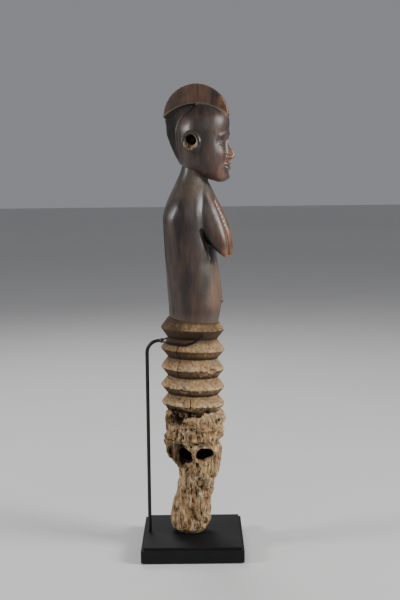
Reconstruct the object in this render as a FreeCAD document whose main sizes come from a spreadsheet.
"""A carved ancestor figure on its display mount.

One log of hardwood is carved as a woman with a crest of hair, standing on a ringed post whose
buried end has rotted to a hollow stump. A bent steel upright carries a two-armed yoke that hugs
the top groove of the post, and both stand on a black stepped plinth. Figure, yoke and upright
lift off together: the upright leaves its socket and the stump leaves the foot pin.

Millimetres. +Z is up, -Y is the front of the plinth, and the origin is under the plinth's centre.
"""
import FreeCAD, Part
import Sketcher
import os
from math import cos, radians, sin

Vector = FreeCAD.Vector
Rotation = FreeCAD.Rotation
X_AXIS, Y_AXIS, Z_AXIS = Vector(1, 0, 0), Vector(0, 1, 0), Vector(0, 0, 1)
SIDES = {"left": 1, "right": -1}

# Driving dimensions. Heights on the figure are counted from the underside of its foot.
SIZES = {
    # plinth
    "plinth_width": 170, "plinth_depth": 170, "plinth_thickness": 25,
    "step_inset": 4, "step_drop": 4.5, "arris_round": 0.6,
    "felt_diameter": 22, "felt_thickness": 2, "felt_inset": 22,
    "plate_margin": 8, "plate_thickness": 4, "plate_gap": 0.3,
    "screw_diameter": 4, "screw_head_diameter": 8, "screw_head_depth": 2.4,
    "screw_length": 14, "screw_tip_length": 4, "screw_inset": 24, "screw_spread": 50,
    "screw_slot_width": 1, "screw_slot_depth": 1,
    # foot pin
    "pin_diameter": 8, "pin_rise": 40, "pin_tip": 2, "pin_flange_diameter": 22,
    "pin_flange_thickness": 2, "pin_clearance": 0.3, "pin_hole_spare": 6,
    "nut_across_flats": 13, "nut_height": 6.5, "nut_setback": 1, "washer_diameter": 16,
    "washer_thickness": 1.6, "nut_well_diameter": 24, "fit_gap": 0.05,
    # upright, socket and yoke
    "rod_diameter": 6, "rod_reach": 25.5, "rod_bend": 21, "rod_slip": 0.05,
    "socket_wall": 1.5, "socket_floor": 2, "socket_cover": 3,
    "socket_flange_width": 2.2, "socket_flange_thickness": 2,
    "yoke_wire": 3, "yoke_drop": 3.6, "yoke_level_angle": 72, "yoke_tip_angle": 107,
    "yoke_tip_rise": 17, "yoke_clearance": 0.5, "sleeve_wall": 0.6, "sleeve_gap": 0.1,
    "sleeve_start_angle": 34, "braze_cover": 1.2,
    # figure as a whole
    "figure_turn": 12, "post_offset": 3,
    # ringed post, counted up from the foot
    "stump_height": 209, "ring_radius": 53, "groove_radius": 42, "ring_lip": 1.6,
    "ring_count": 5, "ring_pitch": 30.9, "top_ring_gap": 34.7, "top_bevel": 13,
    "bevel_overrun": 12, "ring_tilt": 1.5,
    # torso and neck, counted up from the waist on the post
    "torso_height": 228, "neck_height": 43, "navel_up": 34, "navel_radius": 4.5,
    "navel_forward": 49,
    # breasts and arm grooves, counted down from the root of the neck
    "breast_drop": 80, "breast_forward": 41, "breast_long": 45, "breast_deep": 19,
    "breast_wide": 16.5, "breast_spread": 22, "breast_lean": 29,
    "groove_top_drop": 60, "groove_tip_drop": 130, "groove_wide": 14, "groove_spread": 29,
    "groove_back": 14,
    # head, counted up from the root of the neck
    "cranium_up": 77, "cranium_high": 51.5, "cranium_deep": 45, "cranium_wide": 40,
    "cranium_forward": 17, "face_up": 48, "face_high": 47, "face_deep": 33, "face_wide": 32,
    "face_forward": 32, "nose_up": 40, "nose_length": 33, "nose_stand": 9, "nose_wide": 17,
    "eye_up": 65, "eye_spread": 15, "eye_wide": 8.5, "eye_high": 4.5,
    "mouth_up": 25, "lip_wide": 12, "lip_high": 3.4, "lip_stand": 5,
    "ear_up": 66, "ear_forward": 9, "ear_radius": 13, "ear_rim": 4.5, "ear_hole_radius": 9,
    "ear_hole_depth": 9,
    # crest of hair, counted up from the root of the neck
    "crest_up": 106, "crest_radius": 54.5, "crest_forward": 10.5, "crest_thickness": 15,
    "crest_round": 2.5, "tail_tip_up": 32, "tail_tip_back": 19,
    # rotted stump, counted up from the foot
    "rot_pocket_up": 133, "rot_pocket_radius": 16, "rot_pocket_back": 15,
    "rot_tunnel_up": 136, "rot_tunnel_radius": 11, "rot_tunnel_forward": 23,
}

# Oval sections of the carving, low to high:
# (share of the height, centre ahead of the post, half depth, half width).
TORSO_OVALS = (
    (-0.03, 3, 40, 41), (0.12, 4.6, 44.6, 44), (0.215, 4.5, 45.5, 45), (0.32, 2.2, 44.2, 46),
    (0.43, -1, 43, 48), (0.52, -2.7, 42.3, 50), (0.67, -6, 41.5, 52), (0.76, -5, 43, 52.5),
    (0.815, -3, 43, 50), (0.9, 1, 37.5, 42), (1, 1.4, 27, 30),
)
NECK_OVALS = ((0.5, 5, 20.5, 23), (1, 3, 20, 22))
SHAFT_OVALS = ((0, -3, 31, 28), (0.22, -3, 32, 29), (0.46, 5, 31, 29), (0.69, 12, 33, 31))
STUMP_OVALS = ((0.6, 4, 38, 34), (0.72, 2, 44, 41), (0.83, 3, 46, 43), (1.04, 1, 38, 38))
CREST_TAIL = ((-44, 97), (-40, 79), (-33.5, 61.5), (-27, 46))


def make_sheet(doc):
    """Put every driving dimension in the sheet, one cell and one alias each."""
    sheet = doc.addObject("Spreadsheet::Sheet", "sizes")
    for row, (name, value) in enumerate(SIZES.items(), start=1):
        sheet.set(f"A{row}", name)
        sheet.set(f"B{row}", str(value))
        sheet.setAlias(f"B{row}", name)
    doc.recompute()
    return sheet


doc = FreeCAD.newDocument("ancestor_figure")
sheet = make_sheet(doc)

# Heights above the floor that several pieces share.
BLOCK_LOW = "sizes.felt_thickness"
PLATE_TOP = f"({BLOCK_LOW} + sizes.plate_thickness)"
PLINTH_TOP = f"({BLOCK_LOW} + sizes.plinth_thickness)"
SOCKET_TOP = f"({PLINTH_TOP} - sizes.socket_cover)"
SOCKET_SEAT = f"({PLATE_TOP} + sizes.socket_floor)"
NUT_LOW = f"({PLATE_TOP} + sizes.nut_setback)"
NUT_TOP = f"({NUT_LOW} + sizes.nut_height)"
WASHER_TOP = f"({NUT_TOP} + sizes.washer_thickness)"
FLANGE_LOW = f"({PLINTH_TOP} - sizes.pin_flange_thickness)"
SOCKET_RADIUS = "(sizes.rod_diameter / 2 + sizes.rod_slip + sizes.socket_wall)"
SOCKET_FLANGE_RADIUS = f"({SOCKET_RADIUS} + sizes.socket_flange_width)"
PLATE_HALF_WIDTH = "(sizes.plinth_width / 2 - sizes.plate_margin - sizes.plate_gap)"
PLATE_HALF_DEPTH = "(sizes.plinth_depth / 2 - sizes.plate_margin - sizes.plate_gap)"

# Heights on the figure, counted from the underside of its foot.
LOW_RING = "(sizes.stump_height + sizes.ring_pitch / 2)"
LAST_PITCHED_RING = f"({LOW_RING} + (sizes.ring_count - 2) * sizes.ring_pitch)"
TOP_RING = f"({LAST_PITCHED_RING} + sizes.top_ring_gap)"
TOP_GROOVE = f"({TOP_RING} - sizes.top_ring_gap / 2)"
WAIST = f"({TOP_RING} + sizes.top_bevel)"
NECK_ROOT = f"({WAIST} + sizes.torso_height)"

# The yoke keeps a clearance from the bevels on both sides of the top groove.
SLEEVE_RADIUS = "(sizes.yoke_wire / 2 + sizes.sleeve_gap + sizes.sleeve_wall)"
YOKE_GAP = f"({SLEEVE_RADIUS} + sizes.yoke_clearance)"
RING_STAND = "(sizes.ring_radius - sizes.groove_radius)"
LOW_SLOPE = f"({RING_STAND} / (sizes.ring_pitch / 2 - sizes.ring_lip / 2))"
TOP_SLOPE = f"({RING_STAND} / (sizes.top_ring_gap / 2 - sizes.ring_lip / 2))"
WAIST_SLOPE = f"((sizes.top_bevel - sizes.ring_lip / 2) / {RING_STAND})"
TILT_SHIFT = "(sizes.ring_radius * sin(sizes.ring_tilt) * 1.6)"
YOKE_LEVEL = f"({PLINTH_TOP} + {TOP_GROOVE} - sizes.yoke_drop)"
YOKE_RADIUS = f"(sizes.groove_radius + (sizes.yoke_drop + {TILT_SHIFT}) * {LOW_SLOPE}" \
              f" + {YOKE_GAP} * sqrt(1 + {LOW_SLOPE} ^ 2))"
YOKE_TIP_RADIUS = f"(sizes.groove_radius + (sizes.yoke_tip_rise - sizes.yoke_drop + {TILT_SHIFT})" \
                  f" * {TOP_SLOPE} + {YOKE_GAP} * sqrt(1 + {TOP_SLOPE} ^ 2))"
YOKE_BACK = f"({YOKE_RADIUS} - sizes.post_offset + sizes.yoke_wire / 2)"
ROD_SETBACK = f"({YOKE_BACK} + sizes.rod_reach)"


def number(expression):
    """The present value of an expression on the sheet, as a plain number."""
    value = sheet.evalExpression(expression.replace("sizes.", ""))
    return float(getattr(value, "Value", value))


def bind(piece, **expressions):
    """Bind properties to expressions; a double underscore stands for the dot of a sub-property."""
    for name, expression in expressions.items():
        piece.setExpression(name.replace("__", "."), expression)
    return piece


def place(piece, across="0", ahead="0", up="0", axis=Z_AXIS, angle="0"):
    """Bind a piece's place: across is +X, ahead is -Y, and it turns by angle about axis."""
    piece.Placement = FreeCAD.Placement(Vector(0, 0, 0), Rotation(axis, 1))
    bind(piece, Placement__Base__x=across, Placement__Base__y=f"-({ahead})",
         Placement__Base__z=up, Placement__Rotation__Angle=f"({angle}) * 1deg")
    return piece


def primitive(kind, name, **expressions):
    """A Part primitive with its sizes bound."""
    return bind(doc.addObject(f"Part::{kind}", name), **expressions)


def drum(name, radius, low, high, across="0", ahead="0"):
    """An upright cylinder between two heights."""
    piece = primitive("Cylinder", name, Radius=radius, Height=f"({high}) - ({low})")
    return place(piece, across, ahead, low)


def fuse(name, pieces):
    """One solid from several overlapping ones."""
    piece = doc.addObject("Part::MultiFuse", name)
    piece.Shapes = pieces
    return piece


def cut(name, base, tool):
    """Base with the tool's space taken out."""
    piece = doc.addObject("Part::Cut", name)
    piece.Base, piece.Tool = base, tool
    return piece


def new_body(name):
    """An empty PartDesign body."""
    return doc.addObject("PartDesign::Body", name)


def new_sketch(body, name, role):
    """A sketch on one of the body's own origin planes."""
    sketch = body.newObject("Sketcher::SketchObject", name)
    plane = next(f for f in body.Origin.OriginFeatures if f.Role == role)
    sketch.AttachmentSupport = [(plane, "")]
    sketch.MapMode = "FlatFace"
    return sketch


def pin_point(sketch, edge, end, across, up):
    """Hold one end of an edge at a place given by two expressions."""
    for kind, axis, expression in (("DistanceX", -2, across), ("DistanceY", -1, up)):
        if abs(number(expression)) < 1e-9:
            sketch.addConstraint(Sketcher.Constraint("PointOnObject", edge, end, axis))
            continue
        index = sketch.addConstraint(
            Sketcher.Constraint(kind, -1, 1, edge, end, number(expression)))
        sketch.setExpression(f"Constraints[{index}]", expression)


def polygon(body, name, role, corners):
    """A closed outline of straight edges through corners given as pairs of expressions."""
    sketch = new_sketch(body, name, role)
    points = [Vector(number(a), number(b), 0) for a, b in corners]
    for start, end in zip(points, points[1:] + points[:1]):
        sketch.addGeometry(Part.LineSegment(start, end))
    for edge, (across, up) in enumerate(corners):
        sketch.addConstraint(Sketcher.Constraint("Coincident", edge - 1 if edge else
                                                 len(corners) - 1, 2, edge, 1))
        pin_point(sketch, edge, 1, across, up)
    return sketch


def rectangle(body, name, half_width, half_depth):
    """A rectangle centred on the body's origin, in its XY plane."""
    signs = ((-1, -1), (1, -1), (1, 1), (-1, 1))
    return polygon(body, name, "XY_Plane",
                   [(f"{a} * ({half_width})", f"{b} * ({half_depth})") for a, b in signs])


def circles(body, name, radius, centres):
    """Round holes or bosses of one radius at several centres, in the body's XY plane."""
    sketch = new_sketch(body, name, "XY_Plane")
    for across, up in centres:
        place_at = Vector(number(across), number(up), 0)
        edge = sketch.addGeometry(Part.Circle(place_at, Z_AXIS, number(radius)))
        pin_point(sketch, edge, 3, across, up)
        index = sketch.addConstraint(Sketcher.Constraint("Radius", edge, number(radius)))
        sketch.setExpression(f"Constraints[{index}]", radius)
    return sketch


def lift(sketch, height):
    """Move a sketch up from its plane."""
    bind(sketch, AttachmentOffset__Base__z=height)
    return sketch


def pad(body, sketch, length, midplane=False):
    """Pad a sketch upwards, or half each way."""
    feature = body.newObject("PartDesign::Pad", f"{sketch.Name}_pad")
    feature.Profile = sketch
    feature.Midplane = midplane
    return bind(feature, Length=length)


def volume_of(body):
    """The body's present volume."""
    doc.recompute()
    return body.Shape.Volume


def pocket(body, sketch, length):
    """Cut a sketch upwards into the body."""
    before = volume_of(body)
    feature = body.newObject("PartDesign::Pocket", f"{sketch.Name}_pocket")
    feature.Profile = sketch
    feature.Reversed = True
    bind(feature, Length=length)
    if volume_of(body) >= before:
        raise RuntimeError(f"{feature.Name} cuts nothing")
    return feature


def revolve(body, sketch):
    """Turn a profile drawn in the XZ plane a full turn about Z."""
    feature = body.newObject("PartDesign::Revolution", f"{sketch.Name}_turned")
    feature.Profile = sketch
    feature.ReferenceAxis = (sketch, ["V_Axis"])
    feature.Angle = 360
    return feature


def turned(name, corners):
    """A body turned from one half profile of (radius, height) corners."""
    body = new_body(name)
    revolve(body, polygon(body, f"{name}_profile", "XZ_Plane", corners))
    return body


def corner_signs():
    """The four corners of the plinth, in order round it."""
    return ((-1, -1), (1, -1), (1, 1), (-1, 1))


# ---------------------------------------------------------------- plinth

def plinth_block():
    """Stepped hardwood block, drilled for the socket, the foot pin and the underside fixings."""
    body = new_body("plinth_block")
    lower = rectangle(body, "block_outline", "sizes.plinth_width / 2", "sizes.plinth_depth / 2")
    pad(body, lift(lower, BLOCK_LOW), "sizes.plinth_thickness - sizes.step_drop")
    upper = rectangle(body, "block_step", "sizes.plinth_width / 2 - sizes.step_inset",
                      "sizes.plinth_depth / 2 - sizes.step_inset")
    pad(body, lift(upper, f"{PLINTH_TOP} - sizes.step_drop - 1"), "sizes.step_drop + 1")
    recess = rectangle(body, "plate_recess", f"{PLATE_HALF_WIDTH} + sizes.plate_gap",
                       f"{PLATE_HALF_DEPTH} + sizes.plate_gap")
    pocket(body, lift(recess, BLOCK_LOW), "sizes.plate_thickness")
    centre, rod = ("0", "0"), ("0", ROD_SETBACK)
    holes = (
        ("nut_well", "sizes.nut_well_diameter / 2", centre, PLATE_TOP, WASHER_TOP),
        ("pin_bore", "sizes.pin_diameter / 2 + sizes.fit_gap", centre, PLATE_TOP, PLINTH_TOP),
        ("flange_seat", "sizes.pin_flange_diameter / 2 + sizes.fit_gap", centre, FLANGE_LOW,
         PLINTH_TOP),
        ("socket_foot", f"{SOCKET_FLANGE_RADIUS} + sizes.fit_gap", rod, PLATE_TOP,
         f"{PLATE_TOP} + sizes.socket_flange_thickness"),
        ("socket_bore", f"{SOCKET_RADIUS} + sizes.fit_gap", rod, PLATE_TOP, SOCKET_TOP),
        ("rod_bore", "sizes.rod_diameter / 2 + 4 * sizes.rod_slip", rod, PLATE_TOP, PLINTH_TOP),
    )
    for name, radius, spot, low, high in holes:
        pocket(body, lift(circles(body, name, radius, [spot]), low), f"{high} - {low}")
    pilots = circles(body, "screw_pilots", "sizes.screw_diameter / 2 + sizes.fit_gap",
                     screw_spots())
    pocket(body, lift(pilots, BLOCK_LOW), "sizes.screw_length + 1")
    return soften(body, "block_arrises")


def soften(body, name):
    """Round the outer upright and top edges of the block."""
    doc.recompute()
    sharp = body.Tip
    half = number("sizes.plinth_width / 2"), number("sizes.plinth_depth / 2")
    inset, top = number("sizes.step_inset"), number(PLINTH_TOP)
    ledge = top - number("sizes.step_drop")
    chosen = []
    for index, edge in enumerate(body.Shape.Edges, start=1):
        middle = edge.BoundBox.Center
        at_side = any(abs(abs(m) - h) < 0.01 for m, h in zip(middle[:2], half))
        at_step = any(abs(abs(m) - h + inset) < 0.01 for m, h in zip(middle[:2], half))
        upright = edge.BoundBox.ZLength > 1
        flat = edge.BoundBox.ZLength < 0.01
        at_rim = (at_side and abs(middle.z - ledge) < 0.01) or (
            at_step and abs(middle.z - top) < 0.01)
        if (upright and (at_side or at_step) and edge.Length < top) or (flat and at_rim):
            if edge.Curve.TypeId == "Part::GeomLine":
                chosen.append(f"Edge{index}")
    feature = body.newObject("PartDesign::Fillet", name)
    feature.Base = (sharp, chosen)
    bind(feature, Radius="sizes.arris_round")
    return body


def screw_spots():
    """Where the plate's four screws go."""
    return [(f"{a} * (sizes.plinth_width / 2 - sizes.screw_inset)", f"{b} * sizes.screw_spread / 2")
            for a, b in corner_signs()]


def base_plate():
    """Steel ballast plate let into the underside, countersunk for its screws."""
    body = new_body("plate_blank")
    outline = rectangle(body, "plate_outline", PLATE_HALF_WIDTH, PLATE_HALF_DEPTH)
    pad(body, lift(outline, BLOCK_LOW), "sizes.plate_thickness")
    doc.recompute()
    sinks = []
    for index, (across, up) in enumerate(screw_spots(), start=1):
        sink = primitive("Cone", f"plate_sink_{index}",
                         Radius1="sizes.screw_head_diameter / 2 + sizes.fit_gap",
                         Radius2="sizes.screw_diameter / 2 + sizes.fit_gap",
                         Height="sizes.screw_head_depth")
        place(sink, across, f"-({up})", BLOCK_LOW)
        hole = drum(f"plate_hole_{index}", "sizes.screw_diameter / 2 + sizes.fit_gap", BLOCK_LOW,
                    PLATE_TOP, across, f"-({up})")
        sinks += [sink, hole]
    plate = cut("plate_drilled", body, fuse("plate_sinks", sinks))
    return named(plate, "base_plate")


def plate_screw(index, spot):
    """A countersunk wood screw with a slotted head, its head down and flush with the plate."""
    shank, head = "sizes.screw_diameter / 2", "sizes.screw_head_diameter / 2"
    body = turned(f"plate_screw_{index}_blank", [
        ("0", BLOCK_LOW), (head, BLOCK_LOW),
        (shank, f"{BLOCK_LOW} + sizes.screw_head_depth"),
        (shank, f"{BLOCK_LOW} + sizes.screw_length - sizes.screw_tip_length"),
        ("0", f"{BLOCK_LOW} + sizes.screw_length")])
    slot = primitive("Box", f"screw_slot_{index}", Length="sizes.screw_head_diameter + 2",
                     Width="sizes.screw_slot_width", Height="sizes.screw_slot_depth + 1")
    place(slot, "-(sizes.screw_head_diameter + 2) / 2", "sizes.screw_slot_width / 2",
          f"{BLOCK_LOW} - 1")
    screw = cut(f"plate_screw_{index}", body, slot)
    return place(named(screw, f"plate_screw_{index}"), spot[0], f"-({spot[1]})", "0")


def felt_foot(index, signs):
    """A felt disc stuck under the plate near a corner."""
    across = f"{signs[0]} * (sizes.plinth_width / 2 - sizes.felt_inset)"
    ahead = f"{signs[1]} * (sizes.plinth_depth / 2 - sizes.felt_inset)"
    foot = drum(f"felt_foot_{index}", "sizes.felt_diameter / 2", "0", BLOCK_LOW, across, ahead)
    return named(foot, f"felt_foot_{index}")


def foot_pin():
    """Steel stud: a pin for the stump, a flange let into the plinth, and a shank for the nut."""
    radius, flange = "sizes.pin_diameter / 2", "sizes.pin_flange_diameter / 2"
    tip = f"({PLINTH_TOP} + sizes.pin_rise)"
    return named(turned("foot_pin", [
        ("0", NUT_LOW), (radius, NUT_LOW), (radius, FLANGE_LOW), (flange, FLANGE_LOW),
        (flange, PLINTH_TOP), (radius, PLINTH_TOP), (radius, f"{tip} - sizes.pin_tip"),
        (f"{radius} - sizes.pin_tip / 2", tip), ("0", tip)]), "foot_pin")


def pin_washer():
    """Flat washer between the nut and the wood."""
    inner = "sizes.pin_diameter / 2 + 2 * sizes.fit_gap"
    outer = "sizes.washer_diameter / 2"
    return named(turned("pin_washer", [(inner, NUT_TOP), (outer, NUT_TOP), (outer, WASHER_TOP),
                                       (inner, WASHER_TOP)]), "pin_washer")


def pin_nut():
    """Hexagon nut under the washer."""
    hexagon = primitive("Prism", "nut_hexagon", Height="sizes.nut_height",
                        Circumradius="sizes.nut_across_flats / 2 / cos(30)")
    hexagon.Polygon = 6
    place(hexagon, up=NUT_LOW)
    bore = drum("nut_bore", "sizes.pin_diameter / 2 + sizes.fit_gap", NUT_LOW, NUT_TOP)
    return named(cut("nut_bored", hexagon, bore), "pin_nut")


# ---------------------------------------------------------------- upright and yoke

def rod_socket():
    """Closed steel bush that the upright drops into, with a foot flange on the plate."""
    inner = "sizes.rod_diameter / 2 + sizes.rod_slip"
    flange_top = f"({PLATE_TOP} + sizes.socket_flange_thickness)"
    body = turned("socket_turned", [
        ("0", PLATE_TOP), (SOCKET_FLANGE_RADIUS, PLATE_TOP), (SOCKET_FLANGE_RADIUS, flange_top),
        (SOCKET_RADIUS, flange_top), (SOCKET_RADIUS, SOCKET_TOP), (inner, SOCKET_TOP),
        (inner, SOCKET_SEAT), ("0", SOCKET_SEAT)])
    return place(named(body, "rod_socket"), ahead=f"-{ROD_SETBACK}")


def upright_rod():
    """Round steel bar bent over at the top towards the groove, swept along its centre line."""
    body = new_body("upright_rod")
    setback, bend, back = number(ROD_SETBACK), number("sizes.rod_bend"), number(YOKE_BACK)
    low, top = number(SOCKET_SEAT), number(YOKE_LEVEL)
    path = new_sketch(body, "rod_path", "YZ_Plane")
    path.addGeometry(Part.LineSegment(Vector(setback, low, 0), Vector(setback, top - bend, 0)))
    path.addGeometry(Part.ArcOfCircle(
        Part.Circle(Vector(setback - bend, top - bend, 0), Z_AXIS, bend), 0, radians(90)))
    path.addGeometry(Part.LineSegment(Vector(setback - bend, top, 0), Vector(back, top, 0)))
    path.addConstraint(Sketcher.Constraint("Vertical", 0))
    path.addConstraint(Sketcher.Constraint("Horizontal", 2))
    path.addConstraint(Sketcher.Constraint("Tangent", 0, 2, 1, 1))
    path.addConstraint(Sketcher.Constraint("Tangent", 1, 2, 2, 1))
    pin_point(path, 0, 1, ROD_SETBACK, SOCKET_SEAT)
    pin_point(path, 2, 2, YOKE_BACK, YOKE_LEVEL)
    index = path.addConstraint(Sketcher.Constraint("Radius", 1, bend))
    path.setExpression(f"Constraints[{index}]", "sizes.rod_bend")
    section = circles(body, "rod_section", "sizes.rod_diameter / 2", [("0", ROD_SETBACK)])
    lift(section, SOCKET_SEAT)
    pipe = body.newObject("PartDesign::AdditivePipe", "rod_bar")
    pipe.Profile = section
    pipe.Spine = (path, ["Edge1", "Edge2", "Edge3"])
    return named(body, "upright_rod")


def tangent_arc(start, direction, end):
    """The arc that leaves start along direction and arrives at end."""
    chord = end - start
    along = chord.dot(direction)
    aside = chord - direction * along
    radius = chord.dot(chord) / (2 * aside.Length)
    centre = start + aside.normalize() * radius
    toward = (start - centre) + (end - centre)
    return Part.Arc(start, centre + toward.normalize() * radius, end)


def yoke_point(angle, side, rise=0, spread=0):
    """A point on the yoke's line, angle degrees round from the back of the post."""
    reach = number(YOKE_RADIUS) + spread
    return Vector(side * reach * sin(radians(angle)),
                  -number("sizes.post_offset") + reach * cos(radians(angle)),
                  number(YOKE_LEVEL) + rise)


def yoke_arm_edges(side, start_angle=0):
    """Centre line of one arm: level round the groove, then rising under the top ring."""
    level, tip = number("sizes.yoke_level_angle"), number("sizes.yoke_tip_angle")
    bend = yoke_point(level, side)
    flat = Part.Arc(yoke_point(start_angle, side), yoke_point((start_angle + level) / 2, side), bend)
    heading = Vector(side * cos(radians(level)), -sin(radians(level)), 0)
    spread = number(f"{YOKE_TIP_RADIUS} - {YOKE_RADIUS}")
    end = yoke_point(tip, side, number("sizes.yoke_tip_rise"), spread)
    return [flat.toShape(), tangent_arc(bend, heading, end).toShape()]


def wire_along(edges, radius):
    """A round bar of one radius along a run of tangent edges."""
    path = Part.Wire(Part.__sortEdges__(edges))
    start = path.OrderedVertexes[0].Point
    first = path.OrderedEdges[0]
    end_value = first.FirstParameter
    if (first.valueAt(end_value) - start).Length > 1e-6:
        end_value = first.LastParameter
    disc = Part.Wire(Part.Circle(start, first.tangentAt(end_value), radius).toShape())
    return path.makePipeShell([disc], True, True)


def yoke_wire():
    """One wire bent to a fork: an arm each side of the post."""
    edges = yoke_arm_edges(SIDES["right"]) + yoke_arm_edges(SIDES["left"])
    piece = doc.addObject("Part::Feature", "yoke_wire")
    piece.Shape = wire_along(edges, number("sizes.yoke_wire / 2"))
    return named(piece, "yoke_wire")


def yoke_sleeve(name, side):
    """Thin soft tube over one arm, which keeps the steel off the wood."""
    edges = yoke_arm_edges(side, number("sizes.sleeve_start_angle"))
    inner = number("sizes.yoke_wire / 2 + sizes.sleeve_gap")
    outer = number(SLEEVE_RADIUS)
    piece = doc.addObject("Part::Feature", f"yoke_sleeve_{name}")
    piece.Shape = wire_along(edges, outer).cut(wire_along(edges, inner))
    return named(piece, f"yoke_sleeve_{name}")


def braze_collar(rod, wire):
    """The lump of brazing metal that joins the upright to the yoke, shaped round both."""
    ball = primitive("Sphere", "braze_ball", Radius="sizes.rod_diameter / 2 + sizes.braze_cover")
    place(ball, ahead=f"-({YOKE_BACK} + sizes.braze_cover / 2)", up=YOKE_LEVEL)
    around_rod = cut("braze_around_rod", ball, rod)
    return named(cut("braze_lump", around_rod, wire), "braze_collar")


# ---------------------------------------------------------------- carved figure

def ovals(name, sections):
    """A smooth solid through level ovals, each (height, centre ahead, half depth, half width)."""
    drawn = []
    for index, (height, ahead, half_depth, half_width) in enumerate(sections):
        oval = doc.addObject("Part::Ellipse", f"{name}_oval_{index}")
        oval.MajorRadius = max(half_depth, half_width)
        oval.MinorRadius = min(half_depth, half_width)
        turn = 90 if half_depth > half_width else 0
        drawn.append(place(oval, ahead=f"{ahead}", up=height, angle=f"{turn}"))
    solid = doc.addObject("Part::Loft", name)
    solid.Sections, solid.Solid = drawn, True
    return solid


def risen(sections, base, height):
    """Sections with their shares turned into heights above a base."""
    return [(f"{base} + {share} * {height}", *rest) for share, *rest in sections]


def ellipsoid(name, wide, deep, high, across="0", ahead="0", up="0"):
    """An ellipsoid given by its three half sizes."""
    piece = primitive("Ellipsoid", name, Radius1=high, Radius2=wide, Radius3=deep)
    return place(piece, across, ahead, up)


def ringed_post():
    """The post's rings: double bevels that meet in sharp grooves, tipped a little forwards.

    The top bevel runs on up inside the torso, so that the two meet in a clean line.
    """
    ring, groove, lip = "sizes.ring_radius", "sizes.groove_radius", "sizes.ring_lip / 2"
    pitched = int(number("sizes.ring_count")) - 1
    peaks = [f"({LOW_RING} + {index} * sizes.ring_pitch)" for index in range(pitched)] + [TOP_RING]
    valleys = [f"({peak} + sizes.ring_pitch / 2)" for peak in peaks[:-2]] + [TOP_GROOVE, WAIST]
    corners = [("0", "sizes.stump_height"), (groove, "sizes.stump_height")]
    for peak, valley in zip(peaks, valleys):
        corners += [(ring, f"{peak} - {lip}"), (ring, f"{peak} + {lip}"), (groove, valley)]
    inner, top = f"{groove} - sizes.bevel_overrun", f"{WAIST} + sizes.bevel_overrun * {WAIST_SLOPE}"
    corners[-1:] = [(inner, top), ("0", top)]
    body = turned("ringed_post", corners)
    pivot = f"(({LOW_RING} + {TOP_RING}) / 2)"
    return place(body, ahead=f"-{pivot} * sin(sizes.ring_tilt)",
                 up=f"{pivot} * (1 - cos(sizes.ring_tilt))", axis=X_AXIS, angle="sizes.ring_tilt")


def head():
    """Skull, face and ears, in plain forms."""
    pieces = [
        ellipsoid("cranium", "sizes.cranium_wide", "sizes.cranium_deep", "sizes.cranium_high",
                  ahead="sizes.cranium_forward", up=f"{NECK_ROOT} + sizes.cranium_up"),
        ellipsoid("face_mask", "sizes.face_wide", "sizes.face_deep", "sizes.face_high",
                  ahead="sizes.face_forward", up=f"{NECK_ROOT} + sizes.face_up"),
        nose(),
    ]
    front = "(sizes.face_forward + sizes.face_deep)"
    for step in (-1, 1):
        lip = ellipsoid(f"lip_{step + 2}", "sizes.lip_wide", "sizes.lip_stand", "sizes.lip_high",
                        ahead=f"{front} - sizes.lip_stand",
                        up=f"{NECK_ROOT} + sizes.mouth_up + {step} * sizes.lip_high * 0.8")
        pieces.append(lip)
    for name, side in SIDES.items():
        eye = ellipsoid(f"eye_{name}", "sizes.eye_wide", "sizes.eye_high", "sizes.eye_high",
                        across=f"{side} * sizes.eye_spread", ahead=f"{front} - 1.8 * sizes.eye_high",
                        up=f"{NECK_ROOT} + sizes.eye_up")
        pieces += [eye, ear_rim(name, side)]
    return pieces


def nose():
    """A straight nose, wider at its base."""
    wedge = doc.addObject("Part::Wedge", "nose")
    bind(wedge, Xmin="-sizes.nose_wide / 2", Xmax="sizes.nose_wide / 2", Zmin="0",
         Zmax="2 * sizes.nose_stand", X2min="-sizes.nose_wide / 4", X2max="sizes.nose_wide / 4",
         Z2min="0", Z2max="sizes.nose_stand", Ymin="0", Ymax="sizes.nose_length")
    return place(wedge, ahead="sizes.face_forward + sizes.face_deep - sizes.nose_stand",
                 up=f"{NECK_ROOT} + sizes.nose_up", axis=X_AXIS, angle="90")


def ear_rim(name, side):
    """A raised round ear rim on the side of the skull."""
    rim = primitive("Torus", f"ear_{name}", Radius1="sizes.ear_radius", Radius2="sizes.ear_rim")
    return place(rim, f"{side} * sizes.cranium_wide", "sizes.ear_forward",
                 f"{NECK_ROOT} + sizes.ear_up", Y_AXIS, "90")


def ear_hole(name, side):
    """The hollow inside an ear rim."""
    hole = primitive("Cylinder", f"ear_hole_{name}", Radius="sizes.ear_hole_radius",
                     Height="4 * sizes.ear_hole_depth")
    start = f"sizes.cranium_wide - sizes.ear_hole_depth + {1 - side} * 2 * sizes.ear_hole_depth"
    return place(hole, f"{side} * ({start})", "sizes.ear_forward",
                 f"{NECK_ROOT} + sizes.ear_up", Y_AXIS, "90")


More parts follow.
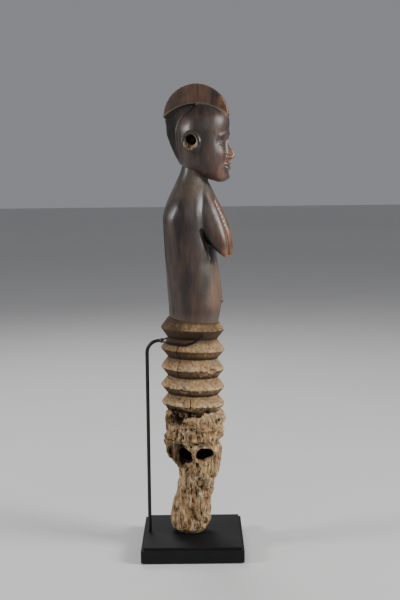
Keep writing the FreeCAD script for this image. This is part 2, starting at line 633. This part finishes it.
def crest():
    """A fin of hair over the crown, with a tail down the back of the skull."""
    disc = primitive("Cylinder", "crest_disc", Radius="sizes.crest_radius",
                     Height="sizes.crest_thickness")
    place(disc, "-sizes.crest_thickness / 2", "sizes.crest_forward",
          f"{NECK_ROOT} + sizes.crest_up", Y_AXIS, "90")
    doc.recompute()
    rounded = doc.addObject("Part::Fillet", "crest_rounded")
    rounded.Base = disc
    rounding = number("sizes.crest_round")
    rounded.Edges = [(index, rounding, rounding) for index, edge
                     in enumerate(disc.Shape.Edges, start=1)
                     if edge.Curve.TypeId == "Part::GeomCircle"]
    body = new_body("crest_tail")
    outline = [(f"{-ahead}", f"{NECK_ROOT} + {up}") for ahead, up in CREST_TAIL]
    outline += [("sizes.tail_tip_back", f"{NECK_ROOT} + sizes.tail_tip_up"),
                ("0", f"{NECK_ROOT} + sizes.tail_tip_up"), ("0", f"{NECK_ROOT} + sizes.crest_up")]
    pad(body, polygon(body, "tail_outline", "YZ_Plane", outline), "sizes.crest_thickness * 0.8",
        midplane=True)
    return [rounded, body]


def breast(name, side):
    """A long breast that hangs forwards and down."""
    form = primitive("Ellipsoid", f"breast_{name}", Radius1="sizes.breast_long",
                     Radius2="sizes.breast_wide", Radius3="sizes.breast_deep")
    return place(form, f"{side} * sizes.breast_spread", "sizes.breast_forward",
                 f"{NECK_ROOT} - sizes.breast_drop", X_AXIS, "-sizes.breast_lean")


def arm_groove(name, side):
    """The wedge of open space between an arm and the belly, its point down."""
    body = new_body(f"arm_groove_{name}")
    middle, half = f"{side} * sizes.groove_spread", "sizes.groove_wide / 2"
    top, tip = f"{NECK_ROOT} - sizes.groove_top_drop", f"{NECK_ROOT} - sizes.groove_tip_drop"
    outline = polygon(body, f"groove_outline_{name}", "XZ_Plane", [
        (middle, tip), (f"{middle} + {half}", top), (f"{middle} - {half}", top)])
    pad(body, outline, "2 * sizes.ring_radius")
    return place(body, ahead="sizes.groove_back")


def rot_hollows():
    """The rotted pocket in the right side of the stump and the hole that goes right through."""
    pocket_ball = primitive("Sphere", "rot_pocket", Radius="sizes.rot_pocket_radius")
    place(pocket_ball, "-sizes.ring_radius * 0.66", "-sizes.rot_pocket_back", "sizes.rot_pocket_up")
    tunnel = primitive("Cylinder", "rot_tunnel", Radius="sizes.rot_tunnel_radius",
                       Height="3 * sizes.ring_radius")
    place(tunnel, "-1.5 * sizes.ring_radius", "sizes.rot_tunnel_forward", "sizes.rot_tunnel_up",
          Y_AXIS, "90")
    return [pocket_ball, tunnel]


def carved_figure():
    """The whole carving as the one log that it is, bored for the foot pin."""
    torso_sections = risen(TORSO_OVALS, WAIST, "sizes.torso_height")
    torso_sections += risen(NECK_OVALS, NECK_ROOT, "sizes.neck_height")
    grooves = [arm_groove(name, side) for name, side in SIDES.items()]
    navel = primitive("Sphere", "navel", Radius="sizes.navel_radius")
    forms = [
        cut("torso_with_arms", ovals("torso", torso_sections), fuse("arm_grooves", grooves)),
        ovals("shaft", risen(SHAFT_OVALS, "0", "sizes.stump_height")),
        ovals("stump", risen(STUMP_OVALS, "0", "sizes.stump_height")),
        ringed_post(),
        place(navel, ahead="sizes.navel_forward", up=f"{WAIST} + sizes.navel_up"),
    ]
    forms += head() + crest() + [breast(name, side) for name, side in SIDES.items()]
    hollows = rot_hollows() + [ear_hole(name, side) for name, side in SIDES.items()]
    log = cut("carved_log", fuse("carved_forms", forms), fuse("carved_hollows", hollows))
    place(log, ahead="sizes.post_offset", up=PLINTH_TOP, angle="-sizes.figure_turn")
    bore = drum("pin_hole", "sizes.pin_diameter / 2 + sizes.pin_clearance", PLINTH_TOP,
                f"{PLINTH_TOP} + sizes.pin_rise + sizes.pin_hole_spare")
    return named(cut("figure_bored", log, bore), "carved_figure")


def named(piece, label):
    """Give a finished sub-part its name."""
    piece.Label = label
    return piece


def build():
    """Every sub-part of the figure and its mount."""
    parts = [plinth_block(), base_plate(), foot_pin(), pin_washer(), pin_nut(), rod_socket()]
    parts += [plate_screw(i, spot) for i, spot in enumerate(screw_spots(), start=1)]
    parts += [felt_foot(i, signs) for i, signs in enumerate(corner_signs(), start=1)]
    rod, wire = upright_rod(), yoke_wire()
    parts += [rod, wire, braze_collar(rod, wire)]
    parts += [yoke_sleeve(name, side) for name, side in SIDES.items()]
    parts.append(carved_figure())
    return parts


def check_and_write(parts):
    """Stop on any failed object, then write each sub-part's solid to its own file."""
    doc.recompute()
    failed = [o.Label for o in doc.Objects if {"Invalid", "Error"} & set(o.State)]
    bad = [p.Label for p in parts if p.Shape.isNull() or not p.Shape.isValid() or not p.Shape.Solids]
    if failed or bad:
        raise RuntimeError(f"failed objects {failed}, bad shapes {bad}")
    os.makedirs("parts", exist_ok=True)
    for piece in parts:
        piece.Shape.exportStep(os.path.join("parts", f"{piece.Label}.step"))
        print(piece.Label, len(piece.Shape.Solids), round(piece.Shape.Volume))


check_and_write(build())
